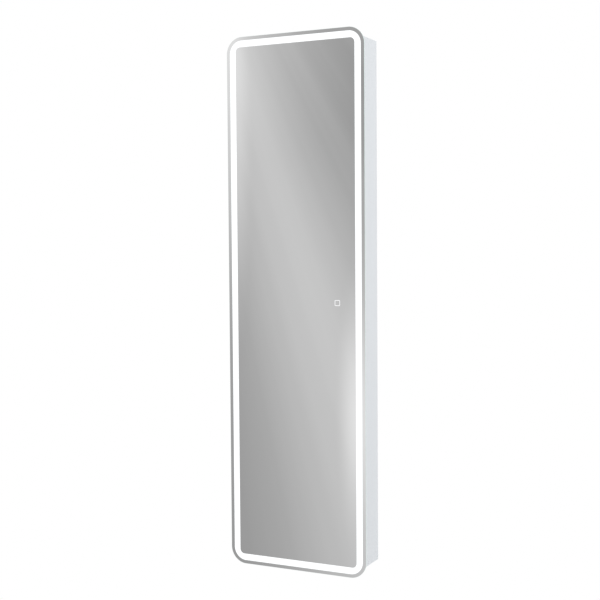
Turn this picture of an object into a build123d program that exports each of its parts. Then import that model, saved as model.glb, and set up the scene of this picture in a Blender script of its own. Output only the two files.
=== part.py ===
from build123d import *

import os
from math import radians, tan

os.makedirs("parts", exist_ok=True)

# The cabinet hangs on a wall. X runs to the right as one faces it, Y into the wall and Z up.
# The origin is on the wall plane, in the middle of the four wall screws. Lengths are millimetres.

# Driving dimensions of the whole cabinet
cabinet_width = 450.0
cabinet_height = 1600.0
cabinet_depth = 145.0
corner_radius = 39.0
door_overhang = 22.0
door_gap = 4.0

# Body boards
board = 16.0
back_panel_thickness = 4.0
back_rebate = 8.0
back_slack = 0.2
edge_round = 1.0
rail_height = 80.0
service_height = 90.0
service_depth = 88.0

# Wall screws, through the hanging rails
wall_hole_spacing_x = 300.0
wall_hole_from_end = 58.0
wall_hole_radius = 3.0

# Shelves and their pins
shelf_count = 5
shelf_thickness = 5.0
shelf_side_slack = 1.5
shelf_front_setback = 12.0
shelf_back_slack = 2.0
shelf_corner_round = 2.4
shelf_edge_bevel = 0.4
pin_radius = 2.5
pin_hole_depth = 9.0
pin_end_gap = 1.0
pin_drop = 3.0
pin_reach = 11.0
pin_spade_width = 8.0
pin_spade_thickness = 5.0
pin_collar_radius = 4.5
pin_collar_thickness = 1.2
pin_from_front = 22.0
pin_from_wall = 34.0
pin_row_step = 32.0

# Board fittings
cam_radius = 7.5
cam_depth = 12.5
cam_from_end = 24.0
cam_from_edge = 26.0
cam_bolt_radius = 3.0
cam_thread_radius = 2.5
cam_thread_depth = 11.0
cam_end_gap = 0.5
cam_head = 2.0
cam_neck = 5.0
cam_neck_slope = 1.0
cam_bore_run = 1.0
cam_slot_width = 1.2
cam_slot_depth = 1.5
dowel_radius = 4.0
dowel_depth_in_side = 10.0
dowel_depth_in_board = 20.0
dowel_from_edge = 20.0
dowel_end_gap = 1.0
dowel_bevel = 1.0
fitting_clearance = 0.1

# Mirror and the lit band in it
glass_thickness = 4.0
glass_edge_bevel = 0.5
band_inset = 10.5
band_width = 20.0
band_inner_radius = 14.0
etch_depth = 0.3
touch_from_edge = 88.0
touch_rise = 7.0
touch_mark_side = 17.0
touch_mark_line = 1.8
touch_mark_round = 2.5

# Door frame, an aluminium channel open to the front, as wide inside as the lit band
frame_wall = 2.0
frame_web = 2.5
frame_depth = 16.0
tenon_length = 15.0
tenon_root = 1.0
frame_clearance = 0.2
frame_screw_from_end = 160.0
stile_screw_count = 4
rail_screw_spacing = 160.0
board_slack = 0.5
tape_thickness = 1.0
tape_width = 20.0
tape_from_end = 67.0
tape_from_sensor = 8.0

# Light
diffuser_thickness = 3.0
strip_width = 8.0
strip_thickness = 1.0
led_side = 2.8
led_height = 0.8
led_pitch = 25.0
link_radius = 0.8
link_overlap = 6.0
strip_end_gap = 1.0
feed_hole_radius = 1.2
feed_from_glass = 5.0

# Hinges
hinge_count = 4
hinge_from_end = 128.0
hinge_length = 60.0
knuckle_count = 5
knuckle_radius = 3.0
knuckle_gap = 0.3
hinge_pin_radius = 1.5
hinge_side_gap = 0.4
running_clearance = 0.05
leaf_thickness = 1.5
leaf_width = 15.0
leaf_round = 2.0
pin_head = 1.0
pin_head_radius = 2.5
hinge_screw_spacing = 20.0

# Screws
screw_radius = 1.5
screw_head_radius = 2.6
screw_clearance = 0.05
screw_tip_gap = 0.5
slot_length = 3.6
slot_width = 0.8
slot_depth = 0.8
door_screw_length = 5.5
body_screw_length = 16.0
frame_screw_length = 16.0
service_screw_length = 14.0

# Catches and bump pads
catch_width = 13.0
catch_depth = 22.0
catch_height = 44.0
catch_from_end = 178.0
catch_round = 1.5
catch_air_gap = 0.3
magnet_width = 8.0
magnet_depth = 14.0
magnet_height = 24.0
magnet_bevel = 0.4
catch_screw_spacing = 34.0
catch_screw_length = 22.0
strike_width = 12.0
strike_height = 40.0
strike_thickness = 1.5
strike_round = 2.0
strike_screw_length = 10.0
pad_radius = 4.0
pad_from_end = 38.0

# Electrics in the service compartment
driver_length = 150.0
driver_width = 42.0
driver_height = 24.0
driver_round = 3.0
driver_tab = 12.0
driver_tab_thickness = 2.5
driver_from_cover = 32.0
lead_radius = 1.5
lead_clearance = 0.2
cover_thickness = 2.5
cover_slack = 1.0
cleat = 16.0
cover_screw_inset = 30.0
gland_from_side = 57.0
gland_bore_radius = 4.0
gland_thread_radius = 8.0
gland_thread_end = 2.0
gland_height = 17.0
gland_rim = 3.0
gland_neck_rim = 1.0
gland_flange = 5.0
gland_round = 3.0
locknut_height = 5.0
locknut_bevel = 0.6
terminal_length = 30.0
terminal_width = 20.0
terminal_height = 16.0
terminal_round = 1.5
terminal_bevel = 0.8
terminal_well_radius = 2.3
terminal_screw_height = 4.0
mains_lead_step = 4.0

# Where the low-voltage lead leaves the body and enters the door
body_exit_from_side = 41.0
door_entry_from_side = 11.0
lead_rise = 22.0
lead_turn_shift = 8.0
lead_turn_depth = 6.0
lead_exit_straight = 2.0
lead_loop_drop = 50.0
lead_loop_shift = 3.0
clip_from_driver = 6.0
clip_width = 8.0
clip_wall = 2.0
clip_foot_width = 16.0
grommet_flange_radius = 6.0
grommet_flange = 1.2
grommet_radius = 4.5
grommet_lip = 0.8
grommet_round = 0.5
door_bush_depth = 5.0
connector_from_back = 7.0
connector_length = 10.0
connector_width = 8.0
connector_depth = 6.5
connector_round = 1.0
connector_slack = 1.0
pocket_slack = 0.5

# Touch switch
sensor_side = 28.0
sensor_depth = 5.0
sensor_round = 2.0
sensor_pad_radius = 9.0
sensor_lead_radius = 1.25
groove_width = 5.0
sensor_lead_bend = 25.0

# Body sizes that follow
body_width = cabinet_width - 2 * door_overhang
body_height = cabinet_height - 2 * door_overhang
inner_width = body_width - 2 * board
inner_top_z = body_height / 2 - board
inner_bottom_z = -inner_top_z
door_face_y = -cabinet_depth
glass_back_y = door_face_y + glass_thickness
frame_back_y = glass_back_y + frame_depth
body_front_y = frame_back_y + door_gap
back_front_y = -back_panel_thickness
divider_top_z = inner_top_z - service_height
divider_bottom_z = divider_top_z - board
cover_back_y = -service_depth
service_y = cover_back_y + driver_from_cover
gland_x = inner_width / 2 - gland_from_side
body_exit_x = -inner_width / 2 + body_exit_from_side
door_entry_x = -inner_width / 2 + door_entry_from_side


def block(low, high, mode=Mode.ADD):
    """A square-cornered block between two opposite corners, in the part being built."""
    middle = tuple((a + b) / 2 for a, b in zip(low, high))
    with Locations(middle):
        Box(*[b - a for a, b in zip(low, high)], mode=mode)


def facing(points, outward, across=None):
    """Places at points in space, each with its own Z axis along outward."""
    if across is None:
        return Locations(*[Plane(origin=point, z_dir=outward) for point in points])
    return Locations(*[Plane(origin=point, x_dir=across, z_dir=outward) for point in points])


def front_plane(y):
    """The plane at depth y, seen from the front. A negative extrusion goes towards the wall."""
    return Plane.XZ.offset(-y)


def open_bends(points):
    """The largest radius that each corner of a lead's route has room for."""
    found = []
    for before, corner, after in zip(points, points[1:], points[2:]):
        first = Vector(*corner) - Vector(*before)
        second = Vector(*after) - Vector(*corner)
        shorter = min(first.length, second.length)
        found.append(0.45 * shorter / tan(radians(first.get_angle(second)) / 2))
    return found


def countersunk_screw(length):
    """A countersunk screw, its flat head at the origin and its tip down the -Z axis."""
    cone = screw_head_radius - screw_radius
    with BuildPart() as screw:
        with BuildSketch(Plane.XZ):
            with BuildLine():
                Polyline(
                    (0, 0),
                    (screw_head_radius, 0),
                    (screw_radius, -cone),
                    (screw_radius, -length + screw_radius),
                    (screw_radius / 3, -length),
                    (0, -length),
                    close=True,
                )
            make_face()
        revolve(axis=Axis.Z)
        Box(slot_length, slot_width, 2 * slot_depth, mode=Mode.SUBTRACT)
        Box(slot_width, slot_length, 2 * slot_depth, mode=Mode.SUBTRACT)
    return screw.part


def countersink(depth):
    """A hole that a countersunk screw fits, at the places in force."""
    CounterSinkHole(
        radius=screw_radius + screw_clearance,
        counter_sink_radius=screw_head_radius + screw_clearance,
        depth=depth,
        counter_sink_angle=90,
    )


# Places shared by the boards and their fittings. A pair is (depth y, height z).
panel_z = body_height / 2 - board / 2
rail_y = back_front_y - board / 2
cam_rows = [body_front_y + cam_from_edge, -back_panel_thickness - cam_from_edge]
panel_middle_y = sum(cam_rows) / 2
cam_points = [(y, z) for z in (-panel_z, panel_z) for y in cam_rows]
panel_dowels = [(panel_middle_y, z) for z in (-panel_z, panel_z)]
divider_z = (divider_top_z + divider_bottom_z) / 2
divider_dowels = [
    (cover_back_y + dowel_from_edge, divider_z),
    (back_front_y - dowel_from_edge, divider_z),
]
rail_top_z = inner_top_z - rail_height / 2
rail_bottom_z = inner_bottom_z + rail_height / 2
rail_dowels = {
    word: [(rail_y, z - dowel_from_edge), (rail_y, z + dowel_from_edge)]
    for word, z in (("top", rail_top_z), ("bottom", rail_bottom_z))
}
dowel_points = panel_dowels + divider_dowels + rail_dowels["top"] + rail_dowels["bottom"]
wall_hole_z = body_height / 2 - wall_hole_from_end
wall_holes = [
    (x, 0, z)
    for x in (-wall_hole_spacing_x / 2, wall_hole_spacing_x / 2)
    for z in (-wall_hole_z, wall_hole_z)
]

shelf_space = divider_bottom_z - inner_bottom_z
compartment = (shelf_space - shelf_count * shelf_thickness) / (shelf_count + 1)
shelf_bottoms = [
    inner_bottom_z + (n + 1) * compartment + n * shelf_thickness for n in range(shelf_count)
]
pin_rows_y = [body_front_y + pin_from_front, -pin_from_wall]
pin_hole_heights = [
    z - pin_drop + step for z in shelf_bottoms for step in (-pin_row_step, 0, pin_row_step)
]

body_spacing = (body_height - 2 * hinge_from_end) / (hinge_count - 1)
hinge_heights = [-body_height / 2 + hinge_from_end + n * body_spacing for n in range(hinge_count)]
hinge_axis_x = -body_width / 2 - knuckle_radius - hinge_side_gap
hinge_axis_y = (frame_back_y + body_front_y) / 2
hinge_screw_offsets = (-hinge_screw_spacing, 0, hinge_screw_spacing)
hinge_screw_heights = [z + step for z in hinge_heights for step in hinge_screw_offsets]
body_screw_x = -body_width / 2 + board / 2
catch_z = body_height / 2 - catch_from_end
catch_heights = (-catch_z, catch_z)
catch_x = inner_width / 2 - catch_width / 2
catch_screw_places = [
    (body_front_y + catch_depth / 2, z + step)
    for z in catch_heights
    for step in (-catch_screw_spacing / 2, catch_screw_spacing / 2)
]


def board_ends(side, pairs):
    """Points on the inner face of one side panel, from (depth, height) pairs."""
    return [(side * inner_width / 2, y, z) for y, z in pairs]


def back_space():
    """Cuts the rebate that the back panel lies in, from the board being built."""
    half_x = inner_width / 2 + back_rebate + back_slack
    half_z = inner_top_z + back_rebate + back_slack
    block((-half_x, back_front_y, -half_z), (half_x, 0, half_z), mode=Mode.SUBTRACT)


# Side panels, drilled for the shelf pins and the board fittings
for side, word in ((-1, "left"), (1, "right")):
    inward = (-side, 0, 0)
    with BuildPart() as side_panel:
        with BuildSketch(Plane.XY.offset(-body_height / 2)):
            with Locations((side * (inner_width + board) / 2, body_front_y / 2)):
                Rectangle(board, -body_front_y)
        extrude(amount=body_height)
        outer_edges = side_panel.edges().filter_by(Axis.Z).group_by(Axis.X)[-1 if side > 0 else 0]
        fillet(outer_edges, edge_round)
        back_space()
        pin_holes = [(y, z) for y in pin_rows_y for z in pin_hole_heights]
        with facing(board_ends(side, pin_holes), inward):
            Hole(pin_radius, depth=pin_hole_depth)
        with facing(board_ends(side, cam_points), inward):
            Hole(cam_thread_radius, depth=cam_thread_depth)
        with facing(board_ends(side, dowel_points), inward):
            Hole(dowel_radius, depth=dowel_depth_in_side)
        if side < 0:
            hinge_holes = [(body_screw_x, body_front_y, z) for z in hinge_screw_heights]
            with facing(hinge_holes, (0, -1, 0)):
                Hole(screw_radius + screw_clearance, depth=body_screw_length)
        else:
            catch_hole_depth = catch_screw_length - catch_width + screw_tip_gap
            with facing(board_ends(side, catch_screw_places), inward):
                Hole(screw_radius + screw_clearance, depth=catch_hole_depth)
    side_panel.part.label = f"side_panel_{word}"
    export_step(side_panel.part, f"parts/side_panel_{word}.step")

# Top and bottom panels, between the sides, with the cam fittings set in their inner faces
for up, word in ((1, "top"), (-1, "bottom")):
    with BuildPart() as panel:
        low_z = inner_top_z if up > 0 else -body_height / 2
        block(
            (-inner_width / 2, body_front_y, low_z),
            (inner_width / 2, 0, low_z + board),
        )
        back_space()
        for side in (-1, 1):
            outward = (side, 0, 0)
            with facing([(side * inner_width / 2, y, up * panel_z) for y in cam_rows], outward):
                Hole(cam_bolt_radius + fitting_clearance, depth=cam_from_end)
            with facing([(side * inner_width / 2, panel_middle_y, up * panel_z)], outward):
                Hole(dowel_radius, depth=dowel_depth_in_board)
            cam_x = side * (inner_width / 2 - cam_from_end)
            with facing([(cam_x, y, up * inner_top_z) for y in cam_rows], (0, 0, -up)):
                Hole(cam_radius, depth=cam_depth)
        if up > 0:
            with facing([(gland_x, service_y, body_height / 2)], (0, 0, 1)):
                Hole(gland_thread_radius + fitting_clearance, depth=board)
    panel.part.label = f"{word}_panel"
    export_step(panel.part, f"parts/{word}_panel.step")

# Back panel, nailed into the rebate
with BuildPart() as back_panel:
    half_x = inner_width / 2 + back_rebate
    half_z = inner_top_z + back_rebate
    block((-half_x, back_front_y, -half_z), (half_x, 0, half_z))
    with facing(wall_holes, (0, 1, 0)):
        Hole(wall_hole_radius, depth=back_panel_thickness)
back_panel.part.label = "back_panel"
export_step(back_panel.part, "parts/back_panel.step")

# Hanging rails, inside the back panel at the top and the bottom, for the wall screws
for word, middle_z in (("top", rail_top_z), ("bottom", rail_bottom_z)):
    with BuildPart() as rail:
        block(
            (-inner_width / 2, back_front_y - board, middle_z - rail_height / 2),
            (inner_width / 2, back_front_y, middle_z + rail_height / 2),
        )
        rail_holes = [(x, back_front_y, z) for x, y, z in wall_holes if z * middle_z > 0]
        with facing(rail_holes, (0, 1, 0)):
            Hole(wall_hole_radius, depth=board)
        for side in (-1, 1):
            with facing(board_ends(side, rail_dowels[word]), (side, 0, 0)):
                Hole(dowel_radius, depth=dowel_depth_in_board)
    rail.part.label = f"hanging_rail_{word}"
    export_step(rail.part, f"parts/hanging_rail_{word}.step")

# Places of the cover's screws: two into the divider's front edge, two into the cleat above
cover_screw_x = inner_width / 2 - cover_screw_inset
cover_screw_places = (-cover_screw_x, cover_screw_x)
cover_front_y = cover_back_y - cover_thickness
cleat_z = inner_top_z - cleat / 2
cover_screws = [(x, cover_front_y, z) for x in cover_screw_places for z in (divider_z, cleat_z)]
driver_left_x = -driver_length / 2
driver_screw_x = driver_length / 2 + driver_tab / 2
driver_screw_heads = [
    (side * driver_screw_x, service_y, divider_top_z + driver_tab_thickness) for side in (-1, 1)
]
lead_start_z = divider_top_z + driver_height / 2
body_exit_z = divider_top_z + lead_rise

# Fixed divider under the service compartment
with BuildPart() as service_divider:
    block(
        (-inner_width / 2, cover_back_y, divider_bottom_z),
        (inner_width / 2, back_front_y, divider_top_z),
    )
    for side in (-1, 1):
        with facing(board_ends(side, divider_dowels), (side, 0, 0)):
            Hole(dowel_radius, depth=dowel_depth_in_board)
        with facing([(side * driver_screw_x, service_y, divider_top_z)], (0, 0, 1)):
            Hole(screw_radius + screw_clearance, depth=service_screw_length - driver_tab_thickness)
    with facing([(x, cover_back_y, divider_z) for x in cover_screw_places], (0, -1, 0)):
        Hole(screw_radius + screw_clearance, depth=service_screw_length)
service_divider.part.label = "service_divider"
export_step(service_divider.part, "parts/service_divider.step")

# Batten under the top panel, for the cover's upper screws
with BuildPart() as service_cleat:
    block(
        (-inner_width / 2, cover_back_y, inner_top_z - cleat),
        (inner_width / 2, cover_back_y + cleat, inner_top_z),
    )
    with facing([(x, cover_back_y, cleat_z) for x in cover_screw_places], (0, -1, 0)):
        Hole(screw_radius + screw_clearance, depth=service_screw_length)
service_cleat.part.label = "service_cleat"
export_step(service_cleat.part, "parts/service_cleat.step")

# Cover of the service compartment
with BuildPart() as service_cover:
    with BuildSketch(front_plane(cover_back_y)):
        with Locations((0, (divider_bottom_z + inner_top_z) / 2)):
            RectangleRounded(
                inner_width - 2 * cover_slack,
                inner_top_z - divider_bottom_z - 2 * cover_slack,
                2 * cover_slack,
            )
    extrude(amount=cover_thickness)
    with facing(cover_screws, (0, -1, 0)):
        countersink(cover_thickness)
    with facing([(body_exit_x, cover_front_y, body_exit_z)], (0, -1, 0)):
        Hole(grommet_radius, depth=cover_thickness)
service_cover.part.label = "service_cover"
export_step(service_cover.part, "parts/service_cover.step")

# Glass shelves, counted from the bottom
shelf_half_x = inner_width / 2 - shelf_side_slack
for number, bottom_z in enumerate(shelf_bottoms, start=1):
    with BuildPart() as shelf:
        block(
            (-shelf_half_x, body_front_y + shelf_front_setback, bottom_z),
            (shelf_half_x, back_front_y - shelf_back_slack, bottom_z + shelf_thickness),
        )
        fillet(shelf.edges().filter_by(Axis.Z), shelf_corner_round)
        chamfer(shelf.faces().filter_by(Axis.Z).edges(), shelf_edge_bevel)
    shelf.part.label = f"glass_shelf_{number}"
    export_step(shelf.part, f"parts/glass_shelf_{number}.step")

# One shelf pin: a stem in the side panel, a collar against it and a spade under the glass
with BuildPart() as shelf_pin:
    with facing([(0, 0, -pin_drop)], (1, 0, 0)):
        Cylinder(
            pin_radius - fitting_clearance,
            pin_hole_depth - pin_end_gap,
            align=(Align.CENTER, Align.CENTER, Align.MAX),
        )
        Cylinder(
            pin_collar_radius,
            pin_collar_thickness,
            align=(Align.CENTER, Align.CENTER, Align.MIN),
        )
    block(
        (0, -pin_collar_radius, 0),
        (pin_collar_thickness, pin_collar_radius, pin_drop),
        mode=Mode.SUBTRACT,
    )
    block(
        (pin_collar_thickness / 2, -pin_spade_width / 2, -pin_spade_thickness),
        (pin_reach, pin_spade_width / 2, 0),
    )
    spade_tip = shelf_pin.faces().sort_by(Axis.X)[-1]
    fillet(spade_tip.edges().filter_by(Axis.Z), pin_spade_width / 4)
with BuildPart() as shelf_pins:
    for side in (-1, 1):
        pin_places = board_ends(side, [(y, z) for y in pin_rows_y for z in shelf_bottoms])
        with facing(pin_places, (0, 0, 1), across=(-side, 0, 0)):
            add(shelf_pin.part)
shelf_pins.part.label = "shelf_pins"
export_step(shelf_pins.part, "parts/shelf_pins.step")

# Cam fittings: a bolt in the side panel and a disc in the top or bottom panel that grips its head
cam_body = cam_radius - fitting_clearance
cam_body_height = cam_depth - cam_end_gap
with BuildPart() as cam_disc:
    Cylinder(cam_body, cam_body_height, align=(Align.CENTER, Align.CENTER, Align.MAX))
    with facing([(cam_body + cam_bore_run, 0, -board / 2)], (1, 0, 0)):
        Cylinder(
            cam_bolt_radius + 2 * fitting_clearance,
            cam_body + cam_bore_run + cam_bolt_radius,
            align=(Align.CENTER, Align.CENTER, Align.MAX),
            mode=Mode.SUBTRACT,
        )
    Box(cam_body, cam_slot_width, 2 * cam_slot_depth, mode=Mode.SUBTRACT)
    Box(cam_slot_width, cam_body, 2 * cam_slot_depth, mode=Mode.SUBTRACT)
with BuildPart() as cam_discs:
    for up in (-1, 1):
        for side in (-1, 1):
            cam_x = side * (inner_width / 2 - cam_from_end)
            cam_places = [(cam_x, y, up * inner_top_z) for y in cam_rows]
            with facing(cam_places, (0, 0, -up), across=(side, 0, 0)):
                add(cam_disc.part)
cam_discs.part.label = "cam_discs"
export_step(cam_discs.part, "parts/cam_discs.step")

neck_radius = cam_bolt_radius - cam_neck_slope
cam_head_top = -cam_from_end + cam_head
cam_neck_top = cam_head_top + cam_neck
with BuildPart() as cam_bolt:
    with BuildSketch(Plane.XZ):
        with BuildLine():
            Polyline(
                (0, cam_thread_depth - cam_end_gap),
                (cam_thread_radius - fitting_clearance, cam_thread_depth - cam_end_gap),
                (cam_thread_radius - fitting_clearance, 0),
                (cam_bolt_radius, 0),
                (cam_bolt_radius, cam_neck_top),
                (neck_radius, cam_neck_top - cam_neck_slope),
                (neck_radius, cam_head_top + cam_neck_slope),
                (cam_bolt_radius, cam_head_top),
                (cam_bolt_radius, -cam_from_end),
                (0, -cam_from_end),
                close=True,
            )
        make_face()
    revolve(axis=Axis.Z)
with BuildPart() as cam_bolts:
    for side in (-1, 1):
        with facing(board_ends(side, cam_points), (side, 0, 0)):
            add(cam_bolt.part)
cam_bolts.part.label = "cam_bolts"
export_step(cam_bolts.part, "parts/cam_bolts.step")

# Beech dowels in every board end
with BuildPart() as wood_dowel:
    Cylinder(
        dowel_radius - fitting_clearance,
        dowel_depth_in_side + dowel_depth_in_board - 2 * dowel_end_gap,
    )
    chamfer(wood_dowel.edges(), dowel_bevel)
dowel_middle = (dowel_depth_in_side - dowel_depth_in_board) / 2
with BuildPart() as wood_dowels:
    for side in (-1, 1):
        middles = [(side * (inner_width / 2 + dowel_middle), y, z) for y, z in dowel_points]
        with facing(middles, (side, 0, 0)):
            add(wood_dowel.part)
wood_dowels.part.label = "wood_dowels"
export_step(wood_dowels.part, "parts/wood_dowels.step")

# Power supply of the light, on the divider
with BuildPart() as led_driver:
    with BuildSketch(Plane.XY.offset(divider_top_z)):
        with Locations((0, service_y)):
            RectangleRounded(driver_length, driver_width, driver_round)
    extrude(amount=driver_height)
    chamfer(led_driver.faces().sort_by(Axis.Z)[-1].edges(), driver_round / 3)
    with BuildSketch(Plane.XY.offset(divider_top_z)):
        with Locations((0, service_y)):
            RectangleRounded(driver_length + 2 * driver_tab, driver_width / 2, driver_round)
    extrude(amount=driver_tab_thickness)
    with facing(driver_screw_heads, (0, 0, 1)):
        countersink(driver_tab_thickness)
led_driver.part.label = "led_driver"
export_step(led_driver.part, "parts/led_driver.step")

# Identical screws of the service compartment: four in the cover and two in the power supply's tabs
with BuildPart() as service_screws:
    with facing(cover_screws, (0, -1, 0)):
        add(countersunk_screw(service_screw_length))
    with facing(driver_screw_heads, (0, 0, 1)):
        add(countersunk_screw(service_screw_length))
service_screws.part.label = "service_screws"
export_step(service_screws.part, "parts/service_screws.step")

# Mains connection: a three-way terminal block and its screws
terminal_pitch = terminal_length / 3
terminal_wells = [
    (gland_x + n * terminal_pitch, service_y, divider_top_z + terminal_height) for n in (-1, 0, 1)
]
with BuildPart() as terminal_block:
    with BuildSketch(Plane.XY.offset(divider_top_z)):
        with Locations((gland_x, service_y)):
            RectangleRounded(terminal_length, terminal_width, terminal_round)
    extrude(amount=terminal_height)
    chamfer(terminal_block.faces().sort_by(Axis.Z)[-1].edges(), terminal_bevel)
    with facing(terminal_wells, (0, 0, 1)):
        Hole(terminal_well_radius, depth=terminal_height / 2)
    mouth_y = service_y - terminal_width / 2
    mouth_z = divider_top_z + terminal_height / 3
    wire_mouths = [(x, mouth_y, mouth_z) for x, y, z in terminal_wells]
    with facing(wire_mouths, (0, -1, 0)):
        Hole(terminal_well_radius, depth=terminal_width / 4)
terminal_block.part.label = "terminal_block"
export_step(terminal_block.part, "parts/terminal_block.step")

with BuildPart() as terminal_screws:
    for x, y, z in terminal_wells:
        with Locations((x, y, z - terminal_height / 2 + terminal_screw_height / 2)):
            Cylinder(terminal_well_radius - fitting_clearance, terminal_screw_height)
            with Locations((0, 0, terminal_screw_height / 2)):
                Box(4 * terminal_well_radius, slot_width, 2 * slot_depth, mode=Mode.SUBTRACT)
terminal_screws.part.label = "terminal_screws"
export_step(terminal_screws.part, "parts/terminal_screws.step")

# Mains inlet: a gland through the top panel, held by a locknut inside
body_top_z = body_height / 2
gland_flange_radius = gland_thread_radius + gland_rim
with BuildPart() as cable_gland:
    with BuildSketch(Plane.XY.offset(body_top_z)):
        with Locations((gland_x, service_y)):
            RegularPolygon(gland_flange_radius, 6)
    extrude(amount=gland_flange)
    with BuildSketch(Plane.XY.offset(body_top_z + gland_flange)):
        with Locations((gland_x, service_y)):
            Circle(gland_thread_radius + gland_neck_rim)
    extrude(amount=gland_height - gland_flange)
    fillet(cable_gland.faces().sort_by(Axis.Z)[-1].edges(), gland_round)
    with BuildSketch(Plane.XY.offset(body_top_z)):
        with Locations((gland_x, service_y)):
            Circle(gland_thread_radius)
    extrude(amount=-board - locknut_height - gland_thread_end)
    with facing([(gland_x, service_y, body_top_z + gland_height)], (0, 0, 1)):
        Hole(gland_bore_radius)
cable_gland.part.label = "cable_gland"
export_step(cable_gland.part, "parts/cable_gland.step")

with BuildPart() as gland_locknut:
    with BuildSketch(Plane.XY.offset(inner_top_z)):
        with Locations((gland_x, service_y)):
            RegularPolygon(gland_flange_radius, 6)
            Circle(gland_thread_radius + fitting_clearance, mode=Mode.SUBTRACT)
    extrude(amount=-locknut_height)
    chamfer(gland_locknut.faces().sort_by(Axis.Z)[0].outer_wire().edges(), locknut_bevel)
gland_locknut.part.label = "gland_locknut"
export_step(gland_locknut.part, "parts/gland_locknut.step")

# Lead from the terminal block to the power supply
mains_start = gland_x - terminal_length / 2
mains_end = driver_length / 2
mains_run = mains_start - mains_end
mains_route = [
    (mains_end, service_y, lead_start_z),
    (mains_end + mains_run / 3, service_y, lead_start_z),
    (mains_end + 2 * mains_run / 3, service_y, lead_start_z - mains_lead_step),
    (mains_start, service_y, lead_start_z - mains_lead_step),
]
with BuildPart() as mains_inner_lead:
    with BuildLine():
        mains_path = FilletPolyline(*mains_route, radius=open_bends(mains_route))
    with BuildSketch(Plane(origin=mains_path @ 0, z_dir=mains_path % 0)):
        Circle(lead_radius)
    sweep(path=mains_path)
mains_inner_lead.part.label = "mains_inner_lead"
export_step(mains_inner_lead.part, "parts/mains_inner_lead.step")

# Bush in the cover, where the low-voltage lead comes out
with BuildPart() as lead_grommet_body:
    with BuildSketch(front_plane(cover_front_y)):
        with Locations((body_exit_x, body_exit_z)):
            Circle(grommet_flange_radius)
    extrude(amount=grommet_flange)
    with BuildSketch(front_plane(cover_front_y)):
        with Locations((body_exit_x, body_exit_z)):
            Circle(grommet_radius - fitting_clearance)
    extrude(amount=-cover_thickness - grommet_lip)
    fillet(lead_grommet_body.faces().sort_by(Axis.Y)[0].edges(), grommet_round)
    with facing([(body_exit_x, cover_front_y - grommet_flange, body_exit_z)], (0, -1, 0)):
        Hole(lead_radius + lead_clearance)
lead_grommet_body.part.label = "lead_grommet_body"
export_step(lead_grommet_body.part, "parts/lead_grommet_body.step")

# Low-voltage lead, from the power supply out of the cover, down in a loop and into the door.
# The loop hangs between the cover and the closed door and opens as the door swings.
connector_back_y = frame_back_y - connector_from_back
loop_y = (cover_front_y + frame_back_y) / 2 + lead_loop_shift
loop_bottom_z = body_exit_z - lead_loop_drop
door_lead_route = [
    (driver_left_x, service_y, lead_start_z),
    ((driver_left_x + body_exit_x) / 2 - lead_turn_shift, service_y, lead_start_z),
    (body_exit_x, service_y - lead_turn_depth, body_exit_z),
    (body_exit_x, loop_y, body_exit_z),
    (body_exit_x, loop_y, loop_bottom_z),
    (door_entry_x, loop_y, loop_bottom_z),
    (door_entry_x, loop_y, body_exit_z),
    (door_entry_x, connector_back_y, body_exit_z),
]
loop_first_bend = cover_front_y - grommet_flange - lead_exit_straight - loop_y
door_lead_bends = open_bends(door_lead_route)
door_lead_bends[2] = min(door_lead_bends[2], loop_first_bend)
with BuildPart() as door_lead:
    with BuildLine():
        door_lead_path = FilletPolyline(*door_lead_route, radius=door_lead_bends)
    with BuildSketch(Plane(origin=door_lead_path @ 0, z_dir=door_lead_path % 0)):
        Circle(lead_radius)
    sweep(path=door_lead_path)
door_lead.part.label = "door_lead"
export_step(door_lead.part, "parts/door_lead.step")

# Saddle on the divider that holds the lead
clip_x = driver_left_x - driver_tab - clip_from_driver
with BuildPart() as lead_clip:
    with BuildSketch(Plane.YZ.offset(clip_x - clip_width / 2)):
        with Locations((service_y, lead_start_z)):
            Circle(lead_radius + clip_wall)
        with Locations((service_y, (divider_top_z + lead_start_z) / 2)):
            Rectangle(2 * (lead_radius + clip_wall), lead_start_z - divider_top_z)
        with Locations((service_y, divider_top_z + clip_wall / 2)):
            Rectangle(clip_foot_width, clip_wall)
        with Locations((service_y, lead_start_z)):
            Circle(lead_radius + lead_clearance, mode=Mode.SUBTRACT)
    extrude(amount=clip_width)
lead_clip.part.label = "lead_clip"
export_step(lead_clip.part, "parts/lead_clip.step")


def hinge_leaf(knuckle_numbers, plate_low_y, screw_x, outward):
    """One leaf of a hinge, centred on z = 0, with its knuckles round the hinge axis."""
    knuckle_length = (hinge_length - (knuckle_count - 1) * knuckle_gap) / knuckle_count
    plate_start_x = hinge_axis_x + knuckle_radius + hinge_side_gap
    plate_end_x = plate_start_x + leaf_width
    plate_high_y = plate_low_y + leaf_thickness
    face_y = plate_high_y if outward[1] > 0 else plate_low_y
    with BuildPart() as leaf:
        block(
            (plate_start_x, plate_low_y, -hinge_length / 2),
            (plate_end_x, plate_high_y, hinge_length / 2),
        )
        fillet(leaf.edges().filter_by(Axis.Y).group_by(Axis.X)[-1], leaf_round)
        for number in knuckle_numbers:
            low_z = -hinge_length / 2 + number * (knuckle_length + knuckle_gap)
            block(
                (hinge_axis_x, plate_low_y, low_z),
                (plate_start_x, plate_high_y, low_z + knuckle_length),
            )
            with Locations((hinge_axis_x, hinge_axis_y, low_z + knuckle_length / 2)):
                Cylinder(knuckle_radius, knuckle_length)
        with Locations((hinge_axis_x, hinge_axis_y, 0)):
            Cylinder(hinge_pin_radius + running_clearance, hinge_length, mode=Mode.SUBTRACT)
        with facing([(screw_x, face_y, step) for step in hinge_screw_offsets], outward):
            countersink(leaf_thickness)
    return leaf.part


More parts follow.
